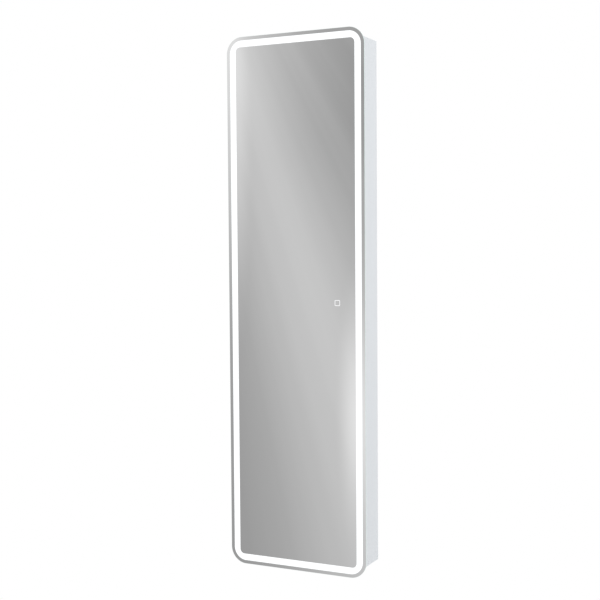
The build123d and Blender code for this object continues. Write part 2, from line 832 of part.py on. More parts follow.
# Hinges, between the left side panel and the door frame, in the gap of the closed door
channel_inner_x = cabinet_width / 2 - band_inset - band_width
door_screw_x = -channel_inner_x - 2 * screw_radius
hinge_places = [(0, 0, z) for z in hinge_heights]
body_knuckles = range(0, knuckle_count, 2)
door_knuckles = range(1, knuckle_count, 2)
with BuildPart() as hinge_body_leaves:
    with Locations(*hinge_places):
        add(hinge_leaf(body_knuckles, body_front_y - leaf_thickness, body_screw_x, (0, -1, 0)))
hinge_body_leaves.part.label = "hinge_body_leaves"
export_step(hinge_body_leaves.part, "parts/hinge_body_leaves.step")

with BuildPart() as hinge_door_leaves:
    with Locations(*hinge_places):
        add(hinge_leaf(door_knuckles, frame_back_y, door_screw_x, (0, 1, 0)))
hinge_door_leaves.part.label = "hinge_door_leaves"
export_step(hinge_door_leaves.part, "parts/hinge_door_leaves.step")

with BuildPart() as hinge_pin:
    with Locations((hinge_axis_x, hinge_axis_y, 0)):
        Cylinder(hinge_pin_radius, hinge_length + 2 * pin_head)
    for side in (-1, 1):
        with Locations((hinge_axis_x, hinge_axis_y, side * (hinge_length + pin_head) / 2)):
            Cylinder(pin_head_radius, pin_head)
with BuildPart() as hinge_pins:
    with Locations(*hinge_places):
        add(hinge_pin.part)
hinge_pins.part.label = "hinge_pins"
export_step(hinge_pins.part, "parts/hinge_pins.step")

body_leaf_face_y = body_front_y - leaf_thickness
door_leaf_face_y = frame_back_y + leaf_thickness
body_screw_heads = [(body_screw_x, body_leaf_face_y, z) for z in hinge_screw_heights]
door_screw_heads = [(door_screw_x, door_leaf_face_y, z) for z in hinge_screw_heights]
with BuildPart() as hinge_body_screws:
    with facing(body_screw_heads, (0, -1, 0)):
        add(countersunk_screw(body_screw_length))
hinge_body_screws.part.label = "hinge_body_screws"
export_step(hinge_body_screws.part, "parts/hinge_body_screws.step")

with BuildPart() as hinge_door_screws:
    with facing(door_screw_heads, (0, 1, 0)):
        add(countersunk_screw(door_screw_length))
hinge_door_screws.part.label = "hinge_door_screws"
export_step(hinge_door_screws.part, "parts/hinge_door_screws.step")

# Magnetic catches on the right side panel: a housing, a magnet that stands proud of it, two screws
strike_face_y = frame_back_y + strike_thickness
magnet_front_y = strike_face_y + catch_air_gap
catch_inner_x = inner_width / 2 - catch_width
catch_screw_heads = [(catch_inner_x, y, z) for y, z in catch_screw_places]
well_half_x = magnet_width / 2 + fitting_clearance
well_half_z = magnet_height / 2 + fitting_clearance
with BuildPart() as catch_housings:
    for z in catch_heights:
        block(
            (catch_inner_x, body_front_y, z - catch_height / 2),
            (inner_width / 2, body_front_y + catch_depth, z + catch_height / 2),
        )
    fillet(catch_housings.edges().filter_by(Axis.Y).group_by(Axis.X)[0], catch_round)
    for z in catch_heights:
        block(
            (catch_x - well_half_x, body_front_y, z - well_half_z),
            (catch_x + well_half_x, magnet_front_y + magnet_depth, z + well_half_z),
            mode=Mode.SUBTRACT,
        )
    with facing(catch_screw_heads, (-1, 0, 0)):
        countersink(catch_width)
catch_housings.part.label = "catch_housings"
export_step(catch_housings.part, "parts/catch_housings.step")

with BuildPart() as catch_magnets:
    for z in catch_heights:
        block(
            (catch_x - magnet_width / 2, magnet_front_y, z - magnet_height / 2),
            (catch_x + magnet_width / 2, magnet_front_y + magnet_depth, z + magnet_height / 2),
        )
    chamfer(catch_magnets.faces().filter_by(Axis.Y).group_by(Axis.Y)[0].edges(), magnet_bevel)
catch_magnets.part.label = "catch_magnets"
export_step(catch_magnets.part, "parts/catch_magnets.step")

with BuildPart() as catch_screws:
    with facing(catch_screw_heads, (-1, 0, 0)):
        add(countersunk_screw(catch_screw_length))
catch_screws.part.label = "catch_screws"
export_step(catch_screws.part, "parts/catch_screws.step")

# Soft dots on the right side panel's front edge, that the door closes on
pad_height = door_gap - catch_air_gap
pad_heights = (-body_height / 2 + pad_from_end, 0, body_height / 2 - pad_from_end)
with BuildPart() as bump_pad:
    Cylinder(pad_radius, pad_height, align=(Align.CENTER, Align.CENTER, Align.MIN))
    fillet(bump_pad.faces().sort_by(Axis.Z)[-1].edges(), 0.6 * pad_height)
with BuildPart() as bump_pads:
    with facing([(body_width / 2 - board / 2, body_front_y, z) for z in pad_heights], (0, -1, 0)):
        add(bump_pad.part)
bump_pads.part.label = "bump_pads"
export_step(bump_pads.part, "parts/bump_pads.step")

# Mirror glass, with the frosted band and the outline of the touch mark etched into its face
touch_x = cabinet_width / 2 - touch_from_edge
with BuildPart() as mirror_glass:
    with BuildSketch(front_plane(door_face_y)):
        RectangleRounded(cabinet_width, cabinet_height, corner_radius)
    extrude(amount=-glass_thickness)
    chamfer(mirror_glass.faces().filter_by(Axis.Y).edges(), glass_edge_bevel)
    with BuildSketch(front_plane(door_face_y)):
        RectangleRounded(
            cabinet_width - 2 * band_inset,
            cabinet_height - 2 * band_inset,
            corner_radius - band_inset,
        )
        RectangleRounded(
            cabinet_width - 2 * (band_inset + band_width),
            cabinet_height - 2 * (band_inset + band_width),
            band_inner_radius,
            mode=Mode.SUBTRACT,
        )
        with Locations((touch_x, touch_rise)):
            RectangleRounded(touch_mark_side, touch_mark_side, touch_mark_round)
            Rectangle(
                touch_mark_side - 2 * touch_mark_line,
                touch_mark_side - 2 * touch_mark_line,
                mode=Mode.SUBTRACT,
            )
    extrude(amount=-etch_depth, mode=Mode.SUBTRACT)
mirror_glass.part.label = "mirror_glass"
export_step(mirror_glass.part, "parts/mirror_glass.step")

# Opal ring behind the lit band, between the walls of the door frame
diffuser_inset = band_inset + frame_clearance
diffuser_width = band_width - 2 * frame_clearance
with BuildPart() as light_diffuser:
    with BuildSketch(front_plane(glass_back_y)):
        RectangleRounded(
            cabinet_width - 2 * diffuser_inset,
            cabinet_height - 2 * diffuser_inset,
            corner_radius - diffuser_inset,
        )
        RectangleRounded(
            cabinet_width - 2 * (diffuser_inset + diffuser_width),
            cabinet_height - 2 * (diffuser_inset + diffuser_width),
            corner_radius - diffuser_inset - diffuser_width,
            mode=Mode.SUBTRACT,
        )
    extrude(amount=-diffuser_thickness)
light_diffuser.part.label = "light_diffuser"
export_step(light_diffuser.part, "parts/light_diffuser.step")

# Door frame. Outside, the channel starts one wall further out than the lit band.
frame_inset = band_inset - frame_wall
frame_width = band_width + 2 * frame_wall
frame_half_x = cabinet_width / 2 - frame_inset
frame_half_z = cabinet_height / 2 - frame_inset
stile_middle = frame_half_x - frame_width / 2
rail_middle = frame_half_z - frame_width / 2
channel_inner_z = cabinet_height / 2 - band_inset - band_width
corner_x = cabinet_width / 2 - corner_radius
corner_z = cabinet_height / 2 - corner_radius
web_front_y = frame_back_y - frame_web
frame_outer_radius = corner_radius - frame_inset
frame_inner_radius = frame_outer_radius - frame_width
channel_middle_radius = frame_outer_radius - frame_width / 2
frame_screw_y = (glass_back_y + diffuser_thickness + web_front_y) / 2
stile_screw_z = cabinet_height / 2 - frame_screw_from_end
stile_screw_step = 2 * stile_screw_z / (stile_screw_count - 1)
stile_screw_heights = [-stile_screw_z + n * stile_screw_step for n in range(stile_screw_count)]
rail_screw_places = (-rail_screw_spacing / 2, rail_screw_spacing / 2)
feed_y = glass_back_y + feed_from_glass
hinge_relief = knuckle_radius + hinge_side_gap

for side, word in ((-1, "left"), (1, "right")):
    stile_middle_x = side * stile_middle
    inner_wall_x = side * channel_inner_x
    with BuildPart() as stile:
        block(
            (stile_middle_x - frame_width / 2, glass_back_y, -corner_z),
            (stile_middle_x + frame_width / 2, frame_back_y, corner_z),
        )
        block(
            (stile_middle_x - band_width / 2, glass_back_y, -corner_z),
            (stile_middle_x + band_width / 2, web_front_y, corner_z),
            mode=Mode.SUBTRACT,
        )
        with facing([(inner_wall_x, frame_screw_y, z) for z in stile_screw_heights], (side, 0, 0)):
            countersink(frame_wall)
        if side < 0:
            for z in hinge_heights:
                with Locations((hinge_axis_x, hinge_axis_y, z)):
                    Cylinder(hinge_relief, hinge_length + 4 * pin_head, mode=Mode.SUBTRACT)
            with facing([(x, frame_back_y, z) for x, y, z in door_screw_heads], (0, 1, 0)):
                Hole(screw_radius + screw_clearance, depth=frame_web)
            with facing([(inner_wall_x, feed_y, body_exit_z)], (side, 0, 0)):
                Hole(feed_hole_radius, depth=frame_wall)
    stile.part.label = f"door_stile_{word}"
    export_step(stile.part, f"parts/door_stile_{word}.step")

for up, word in ((1, "top"), (-1, "bottom")):
    rail_middle_z = up * rail_middle
    inner_wall_z = up * channel_inner_z
    with BuildPart() as door_rail:
        block(
            (-corner_x, glass_back_y, rail_middle_z - frame_width / 2),
            (corner_x, frame_back_y, rail_middle_z + frame_width / 2),
        )
        block(
            (-corner_x, glass_back_y, rail_middle_z - band_width / 2),
            (corner_x, web_front_y, rail_middle_z + band_width / 2),
            mode=Mode.SUBTRACT,
        )
        with facing([(x, frame_screw_y, inner_wall_z) for x in rail_screw_places], (0, 0, up)):
            countersink(frame_wall)
    door_rail.part.label = f"door_rail_{word}"
    export_step(door_rail.part, f"parts/door_rail_{word}.step")

# Rounded corner pieces: a quarter turn of the same channel, with a tenon into each neighbour.
# The first is made at the top right and the others are its mirror images.
tenon_width = band_width - 2 * frame_clearance
with BuildPart() as door_corner:
    with BuildSketch(front_plane(frame_back_y)):
        with Locations((corner_x, corner_z)):
            Circle(frame_outer_radius)
            Circle(frame_inner_radius, mode=Mode.SUBTRACT)
            Rectangle(
                frame_outer_radius,
                frame_outer_radius,
                align=(Align.MIN, Align.MIN),
                mode=Mode.INTERSECT,
            )
    extrude(amount=frame_depth)
    with BuildSketch(front_plane(web_front_y)):
        with Locations((corner_x, corner_z)):
            Circle(frame_outer_radius - frame_wall)
            Circle(frame_inner_radius + frame_wall, mode=Mode.SUBTRACT)
            Rectangle(
                frame_outer_radius,
                frame_outer_radius,
                align=(Align.MIN, Align.MIN),
                mode=Mode.INTERSECT,
            )
    extrude(amount=frame_depth - frame_web, mode=Mode.SUBTRACT)
    block(
        (stile_middle - tenon_width / 2, web_front_y - strip_thickness, corner_z - tenon_length),
        (stile_middle + tenon_width / 2, web_front_y, corner_z + tenon_root),
    )
    block(
        (corner_x - tenon_length, web_front_y - strip_thickness, rail_middle - tenon_width / 2),
        (corner_x + tenon_root, web_front_y, rail_middle + tenon_width / 2),
    )
with BuildPart() as door_corners:
    add(door_corner.part)
    mirror(about=Plane.YZ)
    mirror(about=Plane.XY)
door_corners.part.label = "door_corners"
export_step(door_corners.part, "parts/door_corners.step")

# Screws that hold the channels to the door board
with BuildPart() as frame_screws:
    for side in (-1, 1):
        heads = [(side * channel_inner_x, frame_screw_y, z) for z in stile_screw_heights]
        with facing(heads, (side, 0, 0)):
            add(countersunk_screw(frame_screw_length))
    for up in (-1, 1):
        heads = [(x, frame_screw_y, up * channel_inner_z) for x in rail_screw_places]
        with facing(heads, (0, 0, up)):
            add(countersunk_screw(frame_screw_length))
frame_screws.part.label = "frame_screws"
export_step(frame_screws.part, "parts/frame_screws.step")

# Light strips on the channels' webs
strip_half_x = corner_x - tenon_length - strip_end_gap
strip_half_z = corner_z - tenon_length - strip_end_gap
strip_face_y = web_front_y - strip_thickness
led_y = strip_face_y - led_height / 2


def led_places(half_length):
    """Distances of the lights from the middle of a strip."""
    steps = int((half_length - led_pitch / 2) / led_pitch)
    return [n * led_pitch for n in range(-steps, steps + 1)]


for side, word in ((-1, "left"), (1, "right")):
    middle_x = side * stile_middle
    with BuildPart() as led_strip:
        block(
            (middle_x - strip_width / 2, strip_face_y, -strip_half_z),
            (middle_x + strip_width / 2, web_front_y, strip_half_z),
        )
        with Locations(*[(middle_x, led_y, z) for z in led_places(strip_half_z)]):
            Box(led_side, led_height, led_side)
    led_strip.part.label = f"led_strip_{word}"
    export_step(led_strip.part, f"parts/led_strip_{word}.step")

for up, word in ((1, "top"), (-1, "bottom")):
    middle_z = up * rail_middle
    with BuildPart() as led_strip:
        block(
            (-strip_half_x, strip_face_y, middle_z - strip_width / 2),
            (strip_half_x, web_front_y, middle_z + strip_width / 2),
        )
        with Locations(*[(x, led_y, middle_z) for x in led_places(strip_half_x)]):
            Box(led_side, led_height, led_side)
    led_strip.part.label = f"led_strip_{word}"
    export_step(led_strip.part, f"parts/led_strip_{word}.step")

# Short leads round three of the corners, from strip to strip
link_y = strip_face_y - link_radius - screw_clearance
with BuildPart() as strip_link:
    with BuildLine():
        link_path = FilletPolyline(
            (stile_middle, link_y, strip_half_z - link_overlap),
            (stile_middle, link_y, rail_middle),
            (strip_half_x - link_overlap, link_y, rail_middle),
            radius=channel_middle_radius,
        )
    with BuildSketch(Plane(origin=link_path @ 0, z_dir=link_path % 0)):
        Circle(link_radius)
    sweep(path=link_path)
with BuildPart() as strip_links:
    add(strip_link.part)
    mirror(strip_link.part, about=Plane.YZ)
    mirror(strip_link.part, about=Plane.XY)
strip_links.part.label = "strip_links"
export_step(strip_links.part, "parts/strip_links.step")

# Connector in the door board, where the low-voltage lead meets the door's own leads
connector_front_y = connector_back_y - connector_depth
connector_low = (
    door_entry_x - connector_length / 2,
    connector_front_y,
    body_exit_z - connector_width / 2,
)
connector_high = (
    door_entry_x + connector_length / 2,
    connector_back_y,
    body_exit_z + connector_width / 2,
)
with BuildPart() as lead_connector:
    block(connector_low, connector_high)
    fillet(lead_connector.edges().filter_by(Axis.Y), connector_round)
lead_connector.part.label = "lead_connector"
export_step(lead_connector.part, "parts/lead_connector.step")

# Feed from the connector to the left light strip
feed_turn_x = -stile_middle + strip_width / 4
feed_route = [
    (connector_low[0], feed_y, body_exit_z),
    (feed_turn_x, feed_y, body_exit_z),
    (feed_turn_x, strip_face_y, body_exit_z),
]
with BuildPart() as strip_feed_lead:
    with BuildLine():
        feed_path = FilletPolyline(*feed_route, radius=open_bends(feed_route))
    with BuildSketch(Plane(origin=feed_path @ 0, z_dir=feed_path % 0)):
        Circle(link_radius)
    sweep(path=feed_path)
strip_feed_lead.part.label = "strip_feed_lead"
export_step(strip_feed_lead.part, "parts/strip_feed_lead.step")

# Door board, with a pocket for the touch switch and a groove for its lead
board_half_x = frame_half_x - frame_width - board_slack
board_half_z = frame_half_z - frame_width - board_slack
board_front_y = glass_back_y + tape_thickness
sensor_well = sensor_side / 2 + pocket_slack
sensor_top_z = touch_rise + sensor_side / 2
sensor_route = [
    (connector_high[0], feed_y, body_exit_z),
    (touch_x, feed_y, body_exit_z),
    (touch_x, feed_y, sensor_top_z),
]
with BuildPart() as sensor_lead:
    with BuildLine():
        sensor_path = FilletPolyline(*sensor_route, radius=sensor_lead_bend)
    with BuildSketch(Plane(origin=sensor_path @ 0, z_dir=sensor_path % 0)):
        Circle(sensor_lead_radius)
    sweep(path=sensor_path)
sensor_lead.part.label = "sensor_lead"
export_step(sensor_lead.part, "parts/sensor_lead.step")

strike_screw_heads = [(catch_x, strike_face_y, z) for z in catch_heights]
strike_hole_depth = strike_screw_length - strike_thickness + screw_tip_gap
groove_depth = feed_y - board_front_y + groove_width / 2
with BuildPart() as door_board:
    with BuildSketch(front_plane(frame_back_y)):
        RectangleRounded(2 * board_half_x, 2 * board_half_z, frame_inner_radius - board_slack)
    extrude(amount=frame_back_y - board_front_y)
    block(
        (connector_low[0] - connector_slack, board_front_y, connector_low[2] - connector_slack),
        (
            connector_high[0] + connector_slack,
            connector_back_y + pocket_slack,
            connector_high[2] + connector_slack,
        ),
        mode=Mode.SUBTRACT,
    )
    with facing([(door_entry_x, frame_back_y, body_exit_z)], (0, 1, 0)):
        Hole(grommet_radius, depth=frame_back_y - connector_back_y)
    block(
        (touch_x - sensor_well, board_front_y, touch_rise - sensor_well),
        (touch_x + sensor_well, glass_back_y + sensor_depth + pocket_slack, touch_rise + sensor_well),
        mode=Mode.SUBTRACT,
    )
    with BuildSketch(Plane(origin=sensor_path @ 0, x_dir=(0, 1, 0), z_dir=sensor_path % 0)):
        with Locations((sensor_lead_radius + fitting_clearance, 0)):
            Rectangle(groove_depth, groove_width, align=(Align.MAX, Align.CENTER))
    sweep(path=sensor_path, mode=Mode.SUBTRACT)
    with facing([(-board_half_x, feed_y, body_exit_z)], (-1, 0, 0)):
        Hole(feed_hole_radius, depth=board_half_x + connector_low[0])
    for side in (-1, 1):
        edge_places = [(side * board_half_x, frame_screw_y, z) for z in stile_screw_heights]
        with facing(edge_places, (side, 0, 0)):
            Hole(screw_radius + screw_clearance, depth=frame_screw_length - frame_wall)
    for up in (-1, 1):
        edge_places = [(x, frame_screw_y, up * board_half_z) for x in rail_screw_places]
        with facing(edge_places, (0, 0, up)):
            Hole(screw_radius + screw_clearance, depth=frame_screw_length - frame_wall)
    with facing([(x, frame_back_y, z) for x, y, z in strike_screw_heads], (0, 1, 0)):
        Hole(screw_radius + screw_clearance, depth=strike_hole_depth)
door_board.part.label = "door_board"
export_step(door_board.part, "parts/door_board.step")

# Foam tape between the door board and the mirror
tape_half_z = board_half_z - tape_from_end
tape_side_x = touch_x - sensor_side / 2 - tape_from_sensor - tape_width / 2
with BuildPart() as bonding_tape:
    for x in (-tape_side_x, 0, tape_side_x):
        block(
            (x - tape_width / 2, glass_back_y, -tape_half_z),
            (x + tape_width / 2, board_front_y, tape_half_z),
        )
bonding_tape.part.label = "bonding_tape"
export_step(bonding_tape.part, "parts/bonding_tape.step")

# Touch switch behind the glass, a round pad on a square board
with BuildPart() as touch_sensor:
    with BuildSketch(front_plane(glass_back_y + sensor_depth)):
        with Locations((touch_x, touch_rise)):
            RectangleRounded(sensor_side, sensor_side, sensor_round)
    extrude(amount=sensor_depth / 2)
    with BuildSketch(front_plane(glass_back_y + sensor_depth / 2)):
        with Locations((touch_x, touch_rise)):
            Circle(sensor_pad_radius)
    extrude(amount=sensor_depth / 2)
touch_sensor.part.label = "touch_sensor"
export_step(touch_sensor.part, "parts/touch_sensor.step")

# Bush in the back of the door, where the lead goes in
with BuildPart() as lead_grommet_door:
    with BuildSketch(front_plane(frame_back_y)):
        with Locations((door_entry_x, body_exit_z)):
            Circle(grommet_flange_radius)
    extrude(amount=-grommet_flange)
    with BuildSketch(front_plane(frame_back_y)):
        with Locations((door_entry_x, body_exit_z)):
            Circle(grommet_radius - fitting_clearance)
    extrude(amount=door_bush_depth)
    fillet(lead_grommet_door.faces().sort_by(Axis.Y)[-1].edges(), grommet_round)
    with facing([(door_entry_x, frame_back_y + grommet_flange, body_exit_z)], (0, 1, 0)):
        Hole(lead_radius + lead_clearance)
lead_grommet_door.part.label = "lead_grommet_door"
export_step(lead_grommet_door.part, "parts/lead_grommet_door.step")

# Steel plates on the back of the door, opposite the magnets
with BuildPart() as strike_plates:
    for z in catch_heights:
        block(
            (catch_x - strike_width / 2, frame_back_y, z - strike_height / 2),
            (catch_x + strike_width / 2, strike_face_y, z + strike_height / 2),
        )
    fillet(strike_plates.edges().filter_by(Axis.Y), strike_round)
    with facing(strike_screw_heads, (0, 1, 0)):
        countersink(strike_thickness)
strike_plates.part.label = "strike_plates"
export_step(strike_plates.part, "parts/strike_plates.step")

with BuildPart() as strike_screws:
    with facing(strike_screw_heads, (0, 1, 0)):
        add(countersunk_screw(strike_screw_length))
strike_screws.part.label = "strike_screws"
export_step(strike_screws.part, "parts/strike_screws.step")
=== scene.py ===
from math import cos, radians, sin

import bmesh
import bpy
from mathutils import Matrix, Vector


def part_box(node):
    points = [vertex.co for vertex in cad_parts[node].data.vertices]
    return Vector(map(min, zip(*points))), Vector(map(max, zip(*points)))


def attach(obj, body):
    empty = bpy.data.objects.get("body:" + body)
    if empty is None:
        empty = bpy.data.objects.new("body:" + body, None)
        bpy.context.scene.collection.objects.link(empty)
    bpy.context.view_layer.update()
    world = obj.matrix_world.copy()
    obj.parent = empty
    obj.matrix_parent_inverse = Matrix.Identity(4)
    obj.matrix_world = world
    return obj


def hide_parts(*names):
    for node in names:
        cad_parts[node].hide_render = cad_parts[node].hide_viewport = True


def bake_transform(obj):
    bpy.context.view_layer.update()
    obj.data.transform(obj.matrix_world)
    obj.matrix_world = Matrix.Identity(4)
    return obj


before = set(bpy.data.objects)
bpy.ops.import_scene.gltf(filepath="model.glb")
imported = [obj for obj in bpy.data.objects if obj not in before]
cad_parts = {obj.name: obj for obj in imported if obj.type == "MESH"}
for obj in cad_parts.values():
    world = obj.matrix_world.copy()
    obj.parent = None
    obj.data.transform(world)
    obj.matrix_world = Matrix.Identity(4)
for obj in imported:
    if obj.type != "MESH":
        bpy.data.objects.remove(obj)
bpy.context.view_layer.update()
bpy.ops.object.select_all(action="DESELECT")

# Boards of the body
# White melamine-faced chipboard, 16 mm thick, with a 1 mm plastic edging glued round each edge.
# The sides stand outside the top and bottom panels, and dowels and cams pull them together.


def surface_grain():
    """A node group: a place on a piece becomes a fine height and a slow change of tone."""
    group = bpy.data.node_groups.new("surface_grain", "ShaderNodeTree")
    for label, kind in (("Place", "Vector"), ("Fine Scale", "Float"), ("Broad Scale", "Float")):
        group.interface.new_socket(label, in_out="INPUT", socket_type=f"NodeSocket{kind}")
    for label in ("Height", "Tone"):
        group.interface.new_socket(label, in_out="OUTPUT", socket_type="NodeSocketFloat")
    nodes = group.nodes
    join = group.links.new
    given = nodes.new("NodeGroupInput")
    result = nodes.new("NodeGroupOutput")
    fine = nodes.new("ShaderNodeTexNoise")
    fine.inputs["Detail"].default_value = 3.0
    broad = nodes.new("ShaderNodeTexNoise")
    broad.inputs["Detail"].default_value = 4.0
    broad.inputs["Roughness"].default_value = 0.6
    spread = nodes.new("ShaderNodeMapRange")
    spread.inputs["From Min"].default_value = 0.3
    spread.inputs["From Max"].default_value = 0.7
    join(given.outputs["Place"], fine.inputs["Vector"])
    join(given.outputs["Place"], broad.inputs["Vector"])
    join(given.outputs["Fine Scale"], fine.inputs["Scale"])
    join(given.outputs["Broad Scale"], broad.inputs["Scale"])
    join(broad.outputs["Fac"], spread.inputs["Value"])
    join(fine.outputs["Fac"], result.inputs["Height"])
    join(spread.outputs["Result"], result.inputs["Tone"])
    return group


grain = surface_grain()


def finish(name, light, dark, roughness, spread, fine, broad, depth, stretch=(1, 1, 1)):
    """A material whose tone, roughness and height change over the surface. Depth is in metres."""
    material = bpy.data.materials.new(name)
    material.use_nodes = True
    nodes = material.node_tree.nodes
    join = material.node_tree.links.new
    shader = nodes["Principled BSDF"]
    place = nodes.new("ShaderNodeTexCoord")
    place.name = "place"
    turned = nodes.new("ShaderNodeMapping")
    turned.inputs["Scale"].default_value = stretch
    texture = nodes.new("ShaderNodeGroup")
    texture.name = "grain"
    texture.node_tree = grain
    texture.inputs["Fine Scale"].default_value = fine
    texture.inputs["Broad Scale"].default_value = broad
    tones = nodes.new("ShaderNodeValToRGB")
    tones.name = "tones"
    tones.color_ramp.elements[0].color = (*dark, 1)
    tones.color_ramp.elements[1].color = (*light, 1)
    matt = nodes.new("ShaderNodeMapRange")
    matt.inputs["To Min"].default_value = roughness - spread
    matt.inputs["To Max"].default_value = roughness + spread
    relief = nodes.new("ShaderNodeBump")
    relief.inputs["Strength"].default_value = 1.0
    relief.inputs["Distance"].default_value = depth
    join(place.outputs["Object"], turned.inputs["Vector"])
    join(turned.outputs["Vector"], texture.inputs["Place"])
    join(texture.outputs["Tone"], tones.inputs["Fac"])
    join(texture.outputs["Tone"], matt.inputs["Value"])
    join(texture.outputs["Height"], relief.inputs["Height"])
    join(tones.outputs["Color"], shader.inputs["Base Color"])
    join(matt.outputs["Result"], shader.inputs["Roughness"])
    join(relief.outputs["Normal"], shader.inputs["Normal"])
    return material


def zone(material, axis, start, end, light, dark):
    """Recolours the part of a finish that lies from start to end along one axis, in metres."""
    nodes = material.node_tree.nodes
    join = material.node_tree.links.new
    shader = nodes["Principled BSDF"]
    apart = nodes.new("ShaderNodeSeparateXYZ")
    after = nodes.new("ShaderNodeMath")
    after.operation = "GREATER_THAN"
    after.inputs[1].default_value = start
    before = nodes.new("ShaderNodeMath")
    before.operation = "LESS_THAN"
    before.inputs[1].default_value = end
    both = nodes.new("ShaderNodeMath")
    both.operation = "MULTIPLY"
    flecks = nodes.new("ShaderNodeValToRGB")
    flecks.color_ramp.elements[0].position = 0.3
    flecks.color_ramp.elements[0].color = (*dark, 1)
    flecks.color_ramp.elements[1].position = 0.7
    flecks.color_ramp.elements[1].color = (*light, 1)
    blend = nodes.new("ShaderNodeMix")
    blend.data_type = "RGBA"
    old = shader.inputs["Base Color"].links[0].from_socket
    join(nodes["place"].outputs["Object"], apart.inputs["Vector"])
    join(apart.outputs[axis], after.inputs[0])
    join(apart.outputs[axis], before.inputs[0])
    join(after.outputs[0], both.inputs[0])
    join(before.outputs[0], both.inputs[1])
    join(both.outputs[0], blend.inputs[0])
    join(nodes["grain"].outputs["Height"], flecks.inputs["Fac"])
    join(old, blend.inputs[6])
    join(flecks.outputs["Color"], blend.inputs[7])
    join(blend.outputs[2], shader.inputs["Base Color"])


def dress(material, *names):
    """Gives CAD nodes a finish."""
    for name in names:
        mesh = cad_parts[name].data
        mesh.materials.clear()
        mesh.materials.append(material)


def adjust(material, setting, value):
    """Sets one input of a finish's shader."""
    material.node_tree.nodes["Principled BSDF"].inputs[setting].default_value = value


body_front_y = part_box("side_panel_right")[0].y
edging = 0.001
edging_joint = 0.00015
white_board = finish(
    "white_melamine", light=(0.640, 0.665, 0.690), dark=(0.628, 0.653, 0.679),
    roughness=0.42, spread=0.04, fine=900, broad=6, depth=0.00003,
)
adjust(white_board, "Specular IOR Level", 0.4)
joint_y = body_front_y + edging
zone(
    white_board, "Y", start=joint_y, end=joint_y + edging_joint,
    light=(0.62, 0.63, 0.65), dark=(0.55, 0.56, 0.58),
)
dress(
    white_board,
    "side_panel_left",
    "side_panel_right",
    "top_panel",
    "bottom_panel",
    "service_divider",
    "service_cleat",
    "hanging_rail_top",
    "hanging_rail_bottom",
)

# Back panel
# Thin pressed hardboard with a white film on its inner face and its bare brown fibres on the back.
# It lies in a rebate all round.
back_depth = 0.0006
fibre_board = finish(
    "hardboard", light=(0.76, 0.772, 0.79), dark=(0.74, 0.752, 0.77),
    roughness=0.55, spread=0.08, fine=620, broad=14, depth=0.00008,
)
zone(
    fibre_board, "Y", start=-back_depth, end=back_depth,
    light=(0.40, 0.27, 0.16), dark=(0.21, 0.13, 0.07),
)
dress(fibre_board, "back_panel")

# Dowels and cam fittings
# Fluted beech dowels place the boards. Each cam is a zinc casting in a blind hole, turned on the head
# of a plated bolt in the side panel.
beech = finish(
    "beech", light=(0.62, 0.42, 0.25), dark=(0.47, 0.29, 0.16),
    roughness=0.6, spread=0.08, fine=240, broad=30, depth=0.0001,
    stretch=(0.08, 1, 1),
)
dress(beech, "wood_dowels")
cast_zinc = finish(
    "cast_zinc", light=(0.62, 0.62, 0.61), dark=(0.45, 0.45, 0.45),
    roughness=0.42, spread=0.1, fine=1600, broad=60, depth=0.00003,
)
adjust(cast_zinc, "Metallic", 1.0)
dress(cast_zinc, "cam_discs")
plated_steel = finish(
    "plated_steel", light=(0.80, 0.79, 0.76), dark=(0.62, 0.61, 0.59),
    roughness=0.27, spread=0.09, fine=2600, broad=90, depth=0.00001,
)
adjust(plated_steel, "Metallic", 1.0)
dress(plated_steel, "cam_bolts")

# Glass shelves and their pins
# Five panes of 5 mm clear float glass with ground edges, which show the green of the glass.
# They lie loose on nickel-plated pins pushed into the side panels.
clear_glass = finish(
    "shelf_glass", light=(0.955, 0.985, 0.972), dark=(0.94, 0.975, 0.96),
    roughness=0.02, spread=0.015, fine=700, broad=5, depth=0.000001,
)
ground_glass = finish(
    "ground_glass", light=(0.42, 0.66, 0.57), dark=(0.34, 0.58, 0.49),
    roughness=0.5, spread=0.08, fine=1800, broad=40, depth=0.00002,
)
for glass, clearness in ((clear_glass, 1.0), (ground_glass, 0.45)):
    adjust(glass, "Transmission Weight", clearness)
    adjust(glass, "IOR", 1.52)
shelf_count = 5
level_enough = 0.99
for number in range(1, shelf_count + 1):
    dress(clear_glass, f"glass_shelf_{number}")
    shelf_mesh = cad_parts[f"glass_shelf_{number}"].data
    shelf_mesh.materials.append(ground_glass)
    for face in shelf_mesh.polygons:
        face.material_index = 0 if abs(face.normal.z) > level_enough else 1
nickel = finish(
    "nickel", light=(0.78, 0.76, 0.72), dark=(0.66, 0.64, 0.60),
    roughness=0.2, spread=0.07, fine=3000, broad=45, depth=0.000008,
)
adjust(nickel, "Metallic", 1.0)
dress(nickel, "shelf_pins")

# Service compartment
# A powder-coated steel cover, screwed over the space that holds the power supply of the light.
# The power supply is a sealed plastic box with two screw tabs.
powder_coat = finish(
    "powder_coat", light=(0.78, 0.79, 0.80), dark=(0.70, 0.71, 0.72),
    roughness=0.5, spread=0.06, fine=1100, broad=18, depth=0.00006,
)
dress(powder_coat, "service_cover")
moulded_white = finish(
    "moulded_white", light=(0.76, 0.765, 0.75), dark=(0.69, 0.695, 0.68),
    roughness=0.46, spread=0.07, fine=1900, broad=26, depth=0.00002,
)
dress(moulded_white, "led_driver", "lead_clip")
dress(plated_steel, "service_screws")
natural_nylon = finish(
    "natural_nylon", light=(0.78, 0.76, 0.69), dark=(0.68, 0.66, 0.59),
    roughness=0.4, spread=0.06, fine=1500, broad=34, depth=0.00002,
)
dress(natural_nylon, "terminal_block")
brass = finish(
    "brass", light=(0.74, 0.56, 0.27), dark=(0.58, 0.42, 0.18),
    roughness=0.3, spread=0.08, fine=2400, broad=70, depth=0.00001,
)
adjust(brass, "Metallic", 1.0)
